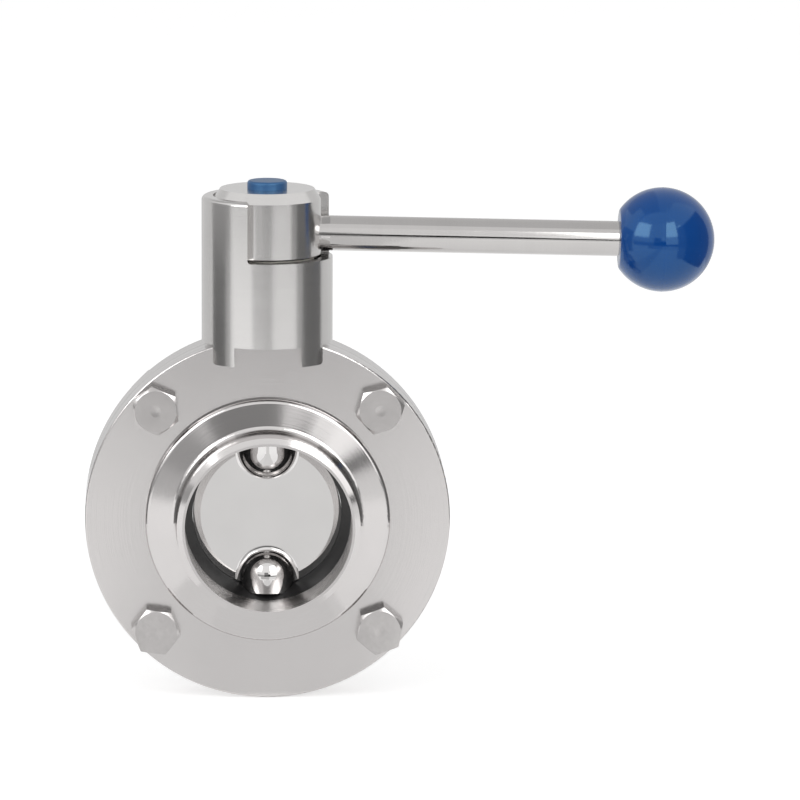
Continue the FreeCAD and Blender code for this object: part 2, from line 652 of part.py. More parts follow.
def make_handle_hub():
    """The round hub on the stem's square, with the screw recess above and the lever's seat."""
    blank = new_body("hub_blank")
    corners = [
        ("0", HUB_BASE),
        (f"{HUB_RADIUS} - size.hub_bevel", HUB_BASE),
        (HUB_RADIUS, f"{HUB_BASE} + size.hub_bevel"),
        (HUB_RADIUS, f"{HUB_TOP} - size.hub_slope_height"),
        (f"{HUB_RADIUS} - size.hub_slope_width", HUB_TOP),
        (RECESS_RADIUS, HUB_TOP),
        (RECESS_RADIUS, SCREW_SEAT),
        ("size.screw_outer / 2 + size.bolt_clear", SCREW_SEAT),
        ("size.screw_outer / 2 + size.bolt_clear", SOCKET_END),
        ("0", SOCKET_END),
    ]
    turn_solid(blank, "hub_turning", "XZ_Plane", "V_Axis", corners)

    socket = new_sketch(blank, "socket_outline", "XY_Plane", HUB_BASE)
    half = "(size.stem_flats / 2 + size.fit_gap)"
    draw_outline(socket, box_corners(f"-{half}", half, f"-{half}", half))
    push_solid(blank, "socket", socket, f"{SOCKET_END} - {HUB_BASE}", remove=True, backwards=True)

    thread_start = f"{ROD_SEAT} - size.rod_grip - size.fit_gap"
    thread = lever_drill("hub_thread", f"{ROD_THREAD} + size.fit_gap", thread_start)
    seat = lever_drill("hub_rod_seat", f"{ROD_NECK} + size.fit_gap", ROD_SEAT)
    drilled = doc.addObject("Part::Cut", "hub_drilled")
    drilled.Base = blank
    drilled.Tool = thread
    hub = doc.addObject("Part::Cut", "handle_hub")
    hub.Base = drilled
    hub.Tool = seat
    hub.Label = "handle_hub"
    doc.recompute()
    return hub


def lever_drill(name, radius, start):
    """A round cutter along the lever's axis, from a distance off the stem's axis outwards."""
    cutter = doc.addObject("Part::Cylinder", name)
    cutter.setExpression("Radius", radius)
    cutter.setExpression("Height", HUB_RADIUS)
    droop = "size.lever_droop * 1 deg"
    cutter.Placement.Rotation = FreeCAD.Rotation(FreeCAD.Vector(0, 1, 0), 90)
    cutter.setExpression("Placement.Rotation.Angle", "90 deg + " + droop)
    cutter.setExpression("Placement.Base.x", f"({start}) * cos({droop})")
    cutter.setExpression("Placement.Base.y", MID)
    cutter.setExpression("Placement.Base.z", f"{LEVER_HEIGHT} - ({start}) * sin({droop})")
    return cutter


def make_hub_screw():
    """The socket-head screw that draws the hub down on the stem."""
    body = new_body("hub_screw")
    bevel = "size.end_bevel"
    corners = [
        ("0", SCREW_END),
        (f"size.screw_outer / 2 - {bevel}", SCREW_END),
        ("size.screw_outer / 2", f"{SCREW_END} + {bevel}"),
        ("size.screw_outer / 2", SCREW_TOP),
        ("size.screw_head / 2", SCREW_TOP),
        ("size.screw_head / 2", f"{HEAD_TOP} - {bevel}"),
        (f"size.screw_head / 2 - {bevel}", HEAD_TOP),
        ("0", HEAD_TOP),
    ]
    turn_solid(body, "screw_turning", "XZ_Plane", "V_Axis", corners)
    key = new_sketch(body, "key_outline", "XY_Plane", HEAD_TOP)
    draw_outline(key, hexagon_corners("(size.key_flats / 2 / cos(30 deg))"))
    push_solid(body, "key_socket", key, "size.key_depth", remove=True)
    return body


def make_hub_washer():
    """The flat washer under the hub screw."""
    body = new_body("hub_screw_washer")
    corners = box_corners(
        "size.screw_outer / 2 + size.running_gap",
        f"{RECESS_RADIUS} - size.running_gap",
        SCREW_SEAT,
        SCREW_TOP,
    )
    turn_solid(body, "washer_ring", "XZ_Plane", "V_Axis", corners)
    return body


def make_screw_cover():
    """The plastic plug that closes the screw recess."""
    body = new_body("screw_cover_plug")
    spigot = f"({RECESS_RADIUS} - size.fit_gap)"
    spigot_end = f"({HEAD_TOP} + size.plug_clear)"
    plug_top = f"({HUB_TOP} + size.plug_height)"
    corners = [
        ("0", spigot_end),
        (spigot, spigot_end),
        (spigot, HUB_TOP),
        (PLUG_RADIUS, HUB_TOP),
        (PLUG_RADIUS, plug_top),
        ("0", plug_top),
    ]
    turn_solid(body, "plug_turning", "XZ_Plane", "V_Axis", corners)
    edges = ring_edges(body.Tip, UP_STEM, PLUG_RADIUS, plug_top)
    dress_edges(body, "Fillet", "plug_top_edge", edges, "size.plug_round")
    return body


def lay_on_lever(body):
    """Put a piece drawn along +X on the lever's axis."""
    body.Placement.Rotation = FreeCAD.Rotation(FreeCAD.Vector(0, 1, 0), 1)
    body.setExpression("Placement.Rotation.Angle", "size.lever_droop * 1 deg")
    body.setExpression("Placement.Base.z", LEVER_HEIGHT)


def make_lever_rod():
    """The round lever, threaded at both ends and tapered where it beds on the hub."""
    body = new_body("lever_rod")
    bevel = "size.end_bevel"
    inner = f"({ROD_SEAT} - size.rod_grip)"
    outer = f"({KNOB_FACE} + size.knob_grip)"
    corners = [
        (inner, "0"),
        (inner, f"{ROD_THREAD} - {bevel}"),
        (f"{inner} + {bevel}", ROD_THREAD),
        (ROD_SEAT, ROD_THREAD),
        (ROD_SEAT, ROD_NECK),
        (HUB_RADIUS, ROD_NECK),
        (f"{HUB_RADIUS} + size.rod_taper", "size.rod_outer / 2"),
        (KNOB_FACE, "size.rod_outer / 2"),
        (KNOB_FACE, ROD_THREAD),
        (f"{outer} - {bevel}", ROD_THREAD),
        (outer, f"{ROD_THREAD} - {bevel}"),
        (outer, "0"),
    ]
    turn_solid(body, "rod_turning", "XZ_Plane", "H_Axis", corners)
    lay_on_lever(body)
    return body


def make_knob_insert():
    """The threaded metal insert in the ball knob."""
    body = new_body("knob_insert")
    thread = f"({ROD_THREAD} + size.fit_gap)"
    thread_end = f"({KNOB_FACE} + size.knob_grip + size.fit_gap)"
    corners = [
        (INSERT_START, thread),
        (INSERT_START, INSERT_RADIUS),
        (INSERT_END, INSERT_RADIUS),
        (INSERT_END, "0"),
        (thread_end, "0"),
        (thread_end, thread),
    ]
    turn_solid(body, "insert_turning", "XZ_Plane", "H_Axis", corners)
    lay_on_lever(body)
    return body


def make_ball_knob():
    """The ball, moulded round its insert, with a flat face and a hole towards the lever."""
    body = new_body("ball_knob")
    thread = f"({ROD_THREAD} + size.fit_gap)"
    face_radius = f"(sqrt((size.knob_outer / 2) ^ 2 - {KNOB_FLAT} ^ 2))"
    centre = ("size.lever_reach", "0")
    corners = [
        (KNOB_FACE, thread),
        (KNOB_FACE, face_radius, centre),
        ("size.lever_reach", "size.knob_outer / 2", centre),
        ("size.lever_reach + size.knob_outer / 2", "0"),
        (INSERT_END, "0"),
        (INSERT_END, INSERT_RADIUS),
        (INSERT_START, INSERT_RADIUS),
        (INSERT_START, thread),
    ]
    turn_solid(body, "knob_turning", "XZ_Plane", "H_Axis", corners)
    lay_on_lever(body)
    return body


# The body bolts, seen from the inlet: the corner each stands in, and the angles in degrees from
# level, anticlockwise, of a corner of its head and of its nut. A nut has a flat outwards, so that
# it stays inside the flange. The bevel starts at a circle that is a little smaller than the flats.
BOLTS = [
    ("-", "", 37.0, 45.0),
    ("", "", 13.0, 15.0),
    ("-", "-", 52.0, 15.0),
    ("", "-", 20.0, 45.0),
]
HEX_BEVEL_ANGLE = 30.0
BEVEL_CIRCLE = 0.97


def place_fastener(body, across, up, level, clock):
    """Stand a piece drawn along +Z at a bolt hole, with +Z along the pipe."""
    lay_down = FreeCAD.Rotation(FreeCAD.Vector(1, 0, 0), -90)
    spin = FreeCAD.Rotation(FreeCAD.Vector(0, 0, 1), -clock)
    body.Placement.Rotation = lay_down.multiply(spin)
    body.setExpression("Placement.Base.x", across + BOLT_OFFSET)
    body.setExpression("Placement.Base.y", level)
    body.setExpression("Placement.Base.z", up + BOLT_OFFSET)


def bevel_hexagon(body, name, level, outwards):
    """Turn the corners off a hexagon at one end. Outwards is "-" for down and "+" for up."""
    inwards = "+" if outwards == "-" else "-"
    inside = f"(size.hex_flats / 2 * {BEVEL_CIRCLE})"
    outside = f"({HEX_CORNER} + {CLEAR_PAST})"
    drop = f"(({outside} - {inside}) * tan({HEX_BEVEL_ANGLE} deg))"
    back = f"{level} {inwards} {drop}"
    beyond = f"{level} {outwards} {CLEAR_PAST}"
    corners = [(inside, level), (outside, back), (outside, beyond), (inside, beyond)]
    return turn_solid(body, name, "XZ_Plane", "V_Axis", corners, remove=True)


def make_body_bolt(index, across, up, clock):
    """A hexagon-head bolt whose head beds on the inlet flange."""
    label = f"body_bolt_{index}"
    body = new_body(label)
    head = new_sketch(body, label + "_head_outline", "XY_Plane")
    draw_outline(head, hexagon_corners(HEX_CORNER))
    push_solid(body, label + "_head", head, "size.head_height", backwards=True)
    bevel_hexagon(body, label + "_head_bevel", "-size.head_height", "-")
    length = "(2 * size.flange_half + size.nut_height + size.bolt_past_nut)"
    shank = [
        ("0", "-size.head_height / 2"),
        ("size.bolt_outer / 2", "-size.head_height / 2"),
        ("size.bolt_outer / 2", f"{length} - size.end_bevel"),
        ("size.bolt_outer / 2 - size.end_bevel", length),
        ("0", length),
    ]
    turn_solid(body, label + "_shank", "XZ_Plane", "V_Axis", shank)
    place_fastener(body, across, up, f"{MID} - size.flange_half", clock)
    return body


def make_body_nut(index, across, up, clock):
    """A hexagon nut on the outlet flange."""
    label = f"body_nut_{index}"
    body = new_body(label)
    outline = new_sketch(body, label + "_outline", "XY_Plane")
    draw_outline(outline, hexagon_corners(HEX_CORNER))
    draw_circle(outline, "size.bolt_outer / 2 + size.fit_gap")
    push_solid(body, label + "_blank", outline, "size.nut_height")
    bevel_hexagon(body, label + "_bevel", "size.nut_height", "+")
    place_fastener(body, across, up, f"{MID} + size.flange_half", clock)
    return body


pieces = [
    make_body_half("front_body_half", "-"),
    make_body_half("rear_body_half", ""),
    make_seat_seal(),
    make_disc_and_stem(),
    make_upper_bushing(),
    make_lower_bushing(),
    make_bonnet(),
    make_bonnet_bushing(),
    make_handle_hub(),
    make_hub_screw(),
    make_hub_washer(),
    make_screw_cover(),
    make_lever_rod(),
    make_knob_insert(),
    make_ball_knob(),
]
for index, (across, up, head_clock, nut_clock) in enumerate(BOLTS, start=1):
    pieces.append(make_body_bolt(index, across, up, head_clock))
    pieces.append(make_body_nut(index, across, up, nut_clock))

doc.recompute()
for item in doc.Objects:
    if "Invalid" in item.State or "Error" in item.State:
        raise RuntimeError(f"{item.Label} failed: {item.State}")

os.makedirs("parts", exist_ok=True)
for piece in pieces:
    if piece.Shape.isNull() or not piece.Shape.isValid() or len(piece.Shape.Solids) != 1:
        raise RuntimeError(f"{piece.Label} is not one sound solid")
    piece.Shape.exportStep(f"parts/{piece.Label}.step")
    box = piece.Shape.BoundBox
    print(f"{piece.Label:24s} {piece.Shape.Volume:10.1f} mm3",
          f"x {box.XMin:7.2f} {box.XMax:7.2f}",
          f"y {box.YMin:7.2f} {box.YMax:7.2f}",
          f"z {box.ZMin:7.2f} {box.ZMax:7.2f}")
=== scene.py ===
# %% [markdown]
# # A sanitary butterfly valve, dressed and lit
#
# Two flanged steel halves hold a rubber ring. A polished disc stands in the ring and closes the
# bore. Its stem runs up through a column to a round hub, and the hub carries a steel lever with
# a blue ball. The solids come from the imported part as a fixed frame. This lesson gives each of
# them its finish, makes the bolts, the nuts and the ball again with the detail that a solid
# leaves out, and sets up a small studio round them.

import math

import bpy
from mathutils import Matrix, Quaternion, Vector


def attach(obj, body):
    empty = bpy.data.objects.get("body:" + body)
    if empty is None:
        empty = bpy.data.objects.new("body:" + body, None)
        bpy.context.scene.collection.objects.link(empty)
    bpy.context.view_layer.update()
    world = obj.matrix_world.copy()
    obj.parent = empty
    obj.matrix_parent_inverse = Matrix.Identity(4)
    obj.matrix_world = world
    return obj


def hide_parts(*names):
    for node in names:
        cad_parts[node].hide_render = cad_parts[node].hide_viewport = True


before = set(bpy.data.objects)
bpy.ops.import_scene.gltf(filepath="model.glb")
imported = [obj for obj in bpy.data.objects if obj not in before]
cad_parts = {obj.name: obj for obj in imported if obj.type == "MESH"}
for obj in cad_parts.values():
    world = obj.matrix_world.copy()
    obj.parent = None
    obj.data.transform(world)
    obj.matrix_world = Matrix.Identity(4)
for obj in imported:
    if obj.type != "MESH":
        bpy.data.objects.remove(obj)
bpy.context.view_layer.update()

# %% [markdown]
# ## The sizes that several steps share
#
# Everything is in metres, in the frame of the solids: the pipe runs along Y and starts at 0, the
# stem stands up along Z, and the lever points along X. The stem stands halfway along the pipe,
# and the pair of flanges is centred on it. A size that more than one step needs is written here
# once, so that no step can drift away from another.

# %% Shared sizes
FACE_TO_FACE = 0.052
FLANGE_PAIR = 0.020
FLANGE_RADIUS = 0.051
STEM_PLACE = FACE_TO_FACE / 2.0
FLANGE_FRONT = STEM_PLACE - FLANGE_PAIR / 2.0
FLANGE_BACK = STEM_PLACE + FLANGE_PAIR / 2.0
print("stem at y", STEM_PLACE, "- flanges from y", FLANGE_FRONT, "to", FLANGE_BACK)

# %% [markdown]
# ## Node trees written as sums
#
# A finish is a small calculation: how far is this point from the bore's axis, and how shiny is
# the steel there? Dragging Math nodes into place is slow to read back later. So one class wraps
# a node's output, and a plus or a minus between two of them adds the Math node. A second class
# has one method that adds any other node. The same two classes serve the finishes here and the
# Geometry Nodes further down.

# %% A wire that can be used in sums
class Wire:
    """The output of a node, which can be used in sums as a number can."""

    def __init__(self, bench, socket):
        self.bench = bench
        self.socket = socket

    def sum_of(self, operation, left, right=None):
        terms = {0: left} if right is None else {0: left, 1: right}
        return self.bench.node("ShaderNodeMath", {"operation": operation}, terms)

    def __add__(self, other):
        return self.sum_of("ADD", self, other)

    def __radd__(self, other):
        return self.sum_of("ADD", other, self)

    def __sub__(self, other):
        return self.sum_of("SUBTRACT", self, other)

    def __rsub__(self, other):
        return self.sum_of("SUBTRACT", other, self)

    def __mul__(self, other):
        return self.sum_of("MULTIPLY", self, other)

    def __rmul__(self, other):
        return self.sum_of("MULTIPLY", other, self)

    def __truediv__(self, other):
        return self.sum_of("DIVIDE", self, other)

    def __rtruediv__(self, other):
        return self.sum_of("DIVIDE", other, self)

    def __pow__(self, other):
        return self.sum_of("POWER", self, other)

    def __abs__(self):
        return self.sum_of("ABSOLUTE", self)

    def __lt__(self, other):
        return self.sum_of("LESS_THAN", self, other)

    def __gt__(self, other):
        return self.sum_of("GREATER_THAN", self, other)

    def named(self, operation, other=None):
        """A Math node that has no sign of its own, such as SINE or MINIMUM."""
        return self.sum_of(operation, self, other)

    def held(self):
        """The same number, held between 0 and 1."""
        return self.named("MINIMUM", 1.0).named("MAXIMUM", 0.0)


# %% The bench that a tree is made on
class Bench:
    """A node tree that is being filled."""

    def __init__(self, tree):
        self.tree = tree

    def node(self, kind, settings, values, output=0):
        """Add a node: its type, its settings, what its sockets get, and which output to use.

        How many choices a switch has is a setting too, though Blender keeps it as a list.
        """
        made = self.tree.nodes.new(kind)
        for name, setting in settings.items():
            if name == "choices":
                while len(made.index_switch_items) < setting:
                    made.index_switch_items.new()
            else:
                setattr(made, name, setting)
        for name, value in values.items():
            if isinstance(value, Wire):
                self.tree.links.new(value.socket, made.inputs[name])
            else:
                made.inputs[name].default_value = value
        return Wire(self, made.outputs[output]) if made.outputs else None

    def vector(self, x, y, z):
        return self.node("ShaderNodeCombineXYZ", {}, {0: x, 1: y, 2: z})

    def mixed(self, share, first, second):
        """A colour between two colours, each three numbers or the wire of another mix."""
        ends = [end + (1.0,) if isinstance(end, tuple) else end for end in (first, second)]
        colours = {0: share, 6: ends[0], 7: ends[1]}
        return self.node("ShaderNodeMix", {"data_type": "RGBA"}, colours, 2)


def from_axis(one, other):
    """How far a point is from an axis, from its two distances across that axis."""
    return (one * one + other * other).named("SQRT")


# %% [markdown]
# ## What every finish shares
#
# Real steel is never one even grey. A lathe leaves fine rings, a buff leaves soft clouds, and
# handling leaves specks. All three could be painted by hand, but noise does it by rule and never
# runs out of detail. The trick is in the coordinates: rings are noise that knows only the
# distance from the axis and the place along it, so it is the same all the way round. Object
# coordinates are used throughout, because each solid's place is in its mesh and the pattern then
# stays on the steel when the lever turns.

# %% Helpers for finishes
def start_finish(name):
    """A new material with an empty tree, and the bench to fill it on."""
    material = bpy.data.materials.new(name)
    material.use_nodes = True
    material.node_tree.nodes.clear()
    return material, Bench(material.node_tree)


def here(bench):
    """The point that is being shaded, as x, y and z in metres."""
    point = bench.node("ShaderNodeTexCoord", {}, {}, "Object")
    return [bench.node("ShaderNodeSeparateXYZ", {}, {0: point}, axis) for axis in range(3)]


def grain(bench, x, y, z, size, detail=2.0, roughness=0.5):
    """Noise whose spots are about a given size in metres, from 0 to 1."""
    values = {"Vector": bench.vector(x, y, z), "Scale": 1.0 / size, "Detail": detail,
              "Roughness": roughness}
    return bench.node("ShaderNodeTexNoise", {"noise_dimensions": "3D"}, values)


def dented(bench, height, depth):
    """The surface normal after small dents of a given depth in metres."""
    values = {"Height": height, "Distance": depth, "Strength": 1.0}
    return bench.node("ShaderNodeBump", {}, values)


def close_finish(bench, material, values):
    """End a tree in the surface shader."""
    surface = bench.node("ShaderNodeBsdfPrincipled", {}, values)
    bench.node("ShaderNodeOutputMaterial", {}, {"Surface": surface})
    print("finish:", material.name, "-", len(bench.tree.nodes), "nodes")
    return material


# %% [markdown]
# ## The body halves: turned stainless steel
#
# The flange faces are satin, with rings so fine that they only soften the light. The collar,
# the sloping face and the weld end are turned smoother and mirror the room in broad bands. Two
# materials could be painted onto the two regions. One finish with a mask is truer, because a
# half is one piece of steel: the mask follows the distance from the bore's axis and moves the
# roughness from one to the other. The same distance finds the rim, where the lathe's marks show
# as dark lines, and where the two halves meet a thin dark line is painted in as the shadow of
# the gap between them.

# %% Turned steel
SATIN_FROM = 0.0343
SATIN_FULL = 0.0348
BORE_EDGE = 0.0234
RIM_FROM = FLANGE_RADIUS - 0.0006
# half the width of the painted shadow line where the two halves meet
HALF_SEAM_SHADOW = 0.00011
MARKS_ABOVE = 0.53
MARK_SHARPNESS = 6.0
STEEL_DARK = (0.550, 0.532, 0.526)
STEEL_LIGHT = (0.645, 0.624, 0.618)
# dark grey for the lathe's real marks on the rim and for the painted shadow at the seam
RIM_MARK_AND_SHADOW_GREY = (0.17, 0.163, 0.16)


def make_turned_steel():
    material, bench = start_finish("turned_body_steel")
    x, y, z = here(bench)
    out = from_axis(x, z)
    rings = grain(bench, out, y, 0.0, size=0.00038, detail=3.0, roughness=0.6)
    clouds = grain(bench, x, y, z, size=0.016, detail=3.0)
    specks = grain(bench, x, y, z, size=0.0011)
    marks = grain(bench, y, 0.0, 0.0, size=0.0011, roughness=0.6)

    satin = ((out - SATIN_FROM) / (SATIN_FULL - SATIN_FROM)).held()
    bore = out < BORE_EDGE
    rim = out > RIM_FROM
    # the seam mask places a painted shadow of the gap between the halves; the tool marks are real
    # marks
    seam = abs(y - STEM_PLACE) < HALF_SEAM_SHADOW
    tool_marks = ((marks - MARKS_ABOVE) * MARK_SHARPNESS).held()
    rim_marks_and_seam_shadow = (0.55 * tool_marks + 0.9 * seam).held() * rim

    tone = 0.55 * clouds + 0.3 * rings + 0.15 * specks
    steel = bench.mixed(tone, STEEL_DARK, STEEL_LIGHT)
    turned = 0.08 + 0.04 * rings + 0.03 * clouds
    return close_finish(bench, material, {
        "Base Color": bench.mixed(rim_marks_and_seam_shadow, steel, RIM_MARK_AND_SHADOW_GREY),
        "Metallic": 1.0,
        "Roughness": turned + satin * (0.05 + 0.08 * clouds) + 0.16 * bore,
        "Normal": dented(bench, rings * (1.0 + 1.4 * satin) + 0.35 * specks * satin, 0.000004),
    })


turned_steel = make_turned_steel()

# %% [markdown]
# ## The column, the hub and the lever: polished steel
#
# These are turned about their own axes and then buffed, so the rings run round the stem's axis
# on the column and the hub, and along the rod on the lever. An even, shiny grey would be
# quicker, but the rings matter even where they can't be seen: they stretch each reflection a
# little, and the steel looks drawn, not glassy.

# %% Polished steel for pieces on the stem
def make_column_steel(name, smooth, rough):
    """Buffed steel whose rings run round the stem."""
    material, bench = start_finish(name)
    x, y, z = here(bench)
    rings = grain(bench, from_axis(x, y - STEM_PLACE), z, 0.0, size=0.00045, detail=3.0,
                  roughness=0.65)
    clouds = grain(bench, x, y, z, size=0.011, detail=3.0)
    specks = grain(bench, x, y, z, size=0.0008, detail=1.0)
    tone = 0.6 * clouds + 0.4 * rings
    return close_finish(bench, material, {
        "Base Color": bench.mixed(tone, (0.58, 0.568, 0.56), (0.68, 0.667, 0.658)),
        "Metallic": 1.0,
        "Roughness": smooth + (rough - smooth) * tone,
        "Normal": dented(bench, rings + 0.3 * specks, 0.000003),
    })


column_steel = make_column_steel("buffed_column_steel", smooth=0.15, rough=0.25)
hub_steel = make_column_steel("buffed_hub_steel", smooth=0.14, rough=0.23)

# %% Drawn steel for the lever
def make_lever_steel():
    """Drawn steel whose rings follow one another along the rod."""
    material, bench = start_finish("drawn_lever_steel")
    x, y, z = here(bench)
    rings = grain(bench, x, 0.0, 0.0, size=0.0005, detail=3.0, roughness=0.65)
    clouds = grain(bench, x, y, z, size=0.009, detail=3.0)
    tone = 0.5 * clouds + 0.5 * rings
    return close_finish(bench, material, {
        "Base Color": bench.mixed(tone, (0.475, 0.463, 0.455), (0.565, 0.551, 0.542)),
        "Metallic": 1.0,
        "Roughness": 0.05 + 0.04 * clouds + 0.04 * rings,
        "Normal": dented(bench, rings, 0.000003),
    })


lever_steel = make_lever_steel()

# %% [markdown]
# ## The disc: a mirror
#
# A sanitary disc is polished until nothing can cling to it. Roughness 0 would be the obvious
# choice, but it looks like a drawing of a mirror. A real one is told by its small faults: a
# gentle waviness bends the reflections, and faint hairlines from the last buff cross it.

# %% Mirror steel
def make_mirror_steel():
    """Steel polished to a mirror, with a slight waviness and faint hairlines."""
    material, bench = start_finish("mirror_disc_steel")
    x, y, z = here(bench)
    waves = grain(bench, x, y, z, size=0.0085, detail=1.0)
    clouds = grain(bench, x, y, z, size=0.013, detail=3.0)
    hairlines = grain(bench, x * 6.0, y, z, size=0.0009, detail=3.0, roughness=0.7)
    return close_finish(bench, material, {
        "Base Color": bench.mixed(clouds, (0.650, 0.637, 0.629), (0.715, 0.702, 0.694)),
        "Metallic": 1.0,
        "Roughness": 0.02 + 0.03 * clouds + 0.02 * hairlines,
        "Normal": dented(bench, waves + 0.02 * hairlines, 0.00002),
    })


mirror_steel = make_mirror_steel()

# %% [markdown]
# ## Fasteners, rubber, bearings and brass
#
# The bolts are plain stainless, a little duller and warmer than the flanges. The seat is
# moulded black rubber: nearly black, with a soft sheen that comes and goes. The bearings and
# the brass insert hardly show, but they are finished all the same, because the valve may be
# shown taken apart. None of them has a turned pattern that can be seen, so one recipe makes all
# four from a dark tone, a light tone and the size of the grain.

# %% The small pieces' finishes
CLOUDS_TO_GRAIN = 8.0


def make_plain_finish(name, dark, light, metallic, smooth, rough, size, depth, sheen=0.5):
    """A finish of two close tones with matching gloss, for pieces without a turned pattern."""
    material, bench = start_finish(name)
    x, y, z = here(bench)
    clouds = grain(bench, x, y, z, size * CLOUDS_TO_GRAIN)
    fine = grain(bench, x, y, z, size, detail=3.0, roughness=0.6)
    tone = 0.55 * clouds + 0.45 * fine
    return close_finish(bench, material, {
        "Base Color": bench.mixed(tone, dark, light),
        "Metallic": metallic,
        "Specular IOR Level": sheen,
        "Roughness": smooth + (rough - smooth) * tone,
        "Normal": dented(bench, fine, depth),
    })


bolt_steel = make_plain_finish(
    "plain_bolt_steel", dark=(0.410, 0.395, 0.390), light=(0.590, 0.571, 0.563),
    metallic=1.0, smooth=0.13, rough=0.26, size=0.0011, depth=0.000005)
seat_rubber = make_plain_finish(
    "black_seat_rubber", dark=(0.004, 0.004, 0.0045), light=(0.012, 0.012, 0.0125),
    metallic=0.0, smooth=0.42, rough=0.62, size=0.0006, depth=0.000010, sheen=0.3)
bearing_plastic = make_plain_finish(
    "bearing_plastic", dark=(0.72, 0.70, 0.63), light=(0.84, 0.82, 0.76),
    metallic=0.0, smooth=0.38, rough=0.55, size=0.0005, depth=0.000006)
turned_brass = make_plain_finish(
    "turned_brass", dark=(0.62, 0.44, 0.19), light=(0.78, 0.60, 0.30),
    metallic=1.0, smooth=0.22, rough=0.38, size=0.0006, depth=0.000005)

# %% [markdown]
# ## Blue plastic, twice
#
# The ball is glossy and hard, and under its gloss the colour flows a little, as moulded plastic
# does. The small plug on the hub is the same blue but softer and duller. A flat blue would do
# from far away. Close up, a moulded piece is known by its faint orange-peel skin, which keeps a
# highlight's edge from looking cut out, so both get one. The gloss is tinted towards blue, as
# the ball's highlights are.

# %% Moulded plastic
GLOSS_TINT = (0.45, 0.83, 1.0, 1.0)
PLASTIC_IOR = 1.66
DUST_ABOVE = 0.80
DUST_SHARPNESS = 14.0


def make_blue_plastic(name, deep, bright, smooth, rough, skin):
    """Moulded plastic whose colour flows, with a skin of a given depth in metres."""
    material, bench = start_finish(name)
    x, y, z = here(bench)
    swirl = grain(bench, x + 0.3 * z, y, z - 0.3 * x, size=0.009, detail=3.0, roughness=0.55)
    peel = grain(bench, x, y, z, size=0.0013)
    dust = grain(bench, x, y, z, size=0.0004, detail=0.0)
    dusty = ((dust - DUST_ABOVE) * DUST_SHARPNESS).held()
    return close_finish(bench, material, {
        "Base Color": bench.mixed(swirl, deep, bright),
        "Specular Tint": GLOSS_TINT,
        "IOR": PLASTIC_IOR,
        "Roughness": smooth + (rough - smooth) * swirl + 0.25 * dusty,
        "Normal": dented(bench, peel, skin),
    })


knob_plastic = make_blue_plastic(
    "glossy_knob_plastic", deep=(0.0005, 0.042, 0.215), bright=(0.0015, 0.053, 0.262),
    smooth=0.09, rough=0.15, skin=0.000004)
plug_plastic = make_blue_plastic(
    "soft_plug_plastic", deep=(0.019, 0.072, 0.205), bright=(0.030, 0.098, 0.253),
    smooth=0.34, rough=0.46, skin=0.000010)

# %% [markdown]
# ## Dress the solids
#
# A solid whose shape is right stays as it is and only gets its finish. The finish could be
# written into the mesh, but the mesh is the shared part's and isn't ours to change. So it goes
# into the object's own material slot, which lies over the mesh's.

# %% Hand out the finishes
FINISH_OF = {
    "front_body_half": turned_steel,
    "rear_body_half": turned_steel,
    "seat_seal": seat_rubber,
    "disc_and_stem": mirror_steel,
    "upper_stem_bushing": bearing_plastic,
    "lower_trunnion_bushing": bearing_plastic,
    "bonnet": column_steel,
    "bonnet_bushing": bearing_plastic,
    "handle_hub": hub_steel,
    "hub_screw": bolt_steel,
    "hub_screw_washer": bolt_steel,
    "screw_cover_plug": plug_plastic,
    "lever_rod": lever_steel,
    "knob_insert": turned_brass,
}
for node, finish in FINISH_OF.items():
    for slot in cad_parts[node].material_slots:
        slot.link = "OBJECT"
        slot.material = finish
print("dressed", len(FINISH_OF), "solids")

# %% [markdown]
# ## Shapes that follow a rule
#
# A bolt is a rule: six flats, a bevel that starts at a circle, and a groove that climbs once
# per turn. Modelling one by hand and copying it would work, but then a change of size means
# doing it again. In Geometry Nodes the rule itself is the model. A flat grid is rolled up: its
# columns become the angle round the axis and its rows become the steps of a profile, and each
# row says how far out and how high it is. The helpers below roll the grid and end the tree in
# real faces with their material, because instances don't survive an export.

# %% Helpers that roll a grid
DOUBLES_WITHIN = 0.0000015


def start_tree(name, sizes):
    """An empty geometry tree with named inputs for its sizes and one for its material."""
    tree = bpy.data.node_groups.new(name, "GeometryNodeTree")
    face = tree.interface
    face.new_socket("Geometry", in_out="INPUT", socket_type="NodeSocketGeometry")
    for size in sizes:
        face.new_socket(size, in_out="INPUT", socket_type="NodeSocketFloat")
    face.new_socket("Material", in_out="INPUT", socket_type="NodeSocketMaterial")
    face.new_socket("Geometry", in_out="OUTPUT", socket_type="NodeSocketGeometry")
    bench = Bench(tree)
    inlet = tree.nodes.new("NodeGroupInput")
    wires = {socket.name: Wire(bench, socket) for socket in inlet.outputs if socket.name}
    return bench, wires


def roll_grid(bench, columns, rows):
    """A grid to be rolled up, with each point's angle round the axis and its row."""
    sheet = bench.node("GeometryNodeMeshGrid", {}, {
        "Vertices X": columns + 1, "Vertices Y": rows})
    index = bench.node("GeometryNodeInputIndex", {}, {})
    column = ((index + 0.5) / float(rows)).named("FLOOR")
    row = index - column * float(rows)
    return sheet, column * (2.0 * math.pi / columns), row


def pick(bench, row, choices):
    """The value that belongs to a row. Rows past the last choice get the last."""
    values = {0: row.named("MINIMUM", len(choices) - 1.0)}
    values.update({place + 1: choice for place, choice in enumerate(choices)})
    settings = {"data_type": "FLOAT", "choices": len(choices)}
    return bench.node("GeometryNodeIndexSwitch", settings, values)


def roll_up(bench, sheet, angle, out, up):
    """Bend the grid into a closed shape round the Z axis."""
    place = bench.vector(out * angle.named("COSINE"), out * angle.named("SINE"), up)
    bent = bench.node("GeometryNodeSetPosition", {}, {"Geometry": sheet, "Position": place})
    return bench.node("GeometryNodeMergeByDistance", {}, {"Geometry": bent,
                                                          "Distance": DOUBLES_WITHIN})


# %% Helpers that end a tree and keep its result
CREASE_ANGLE = math.radians(28.0)


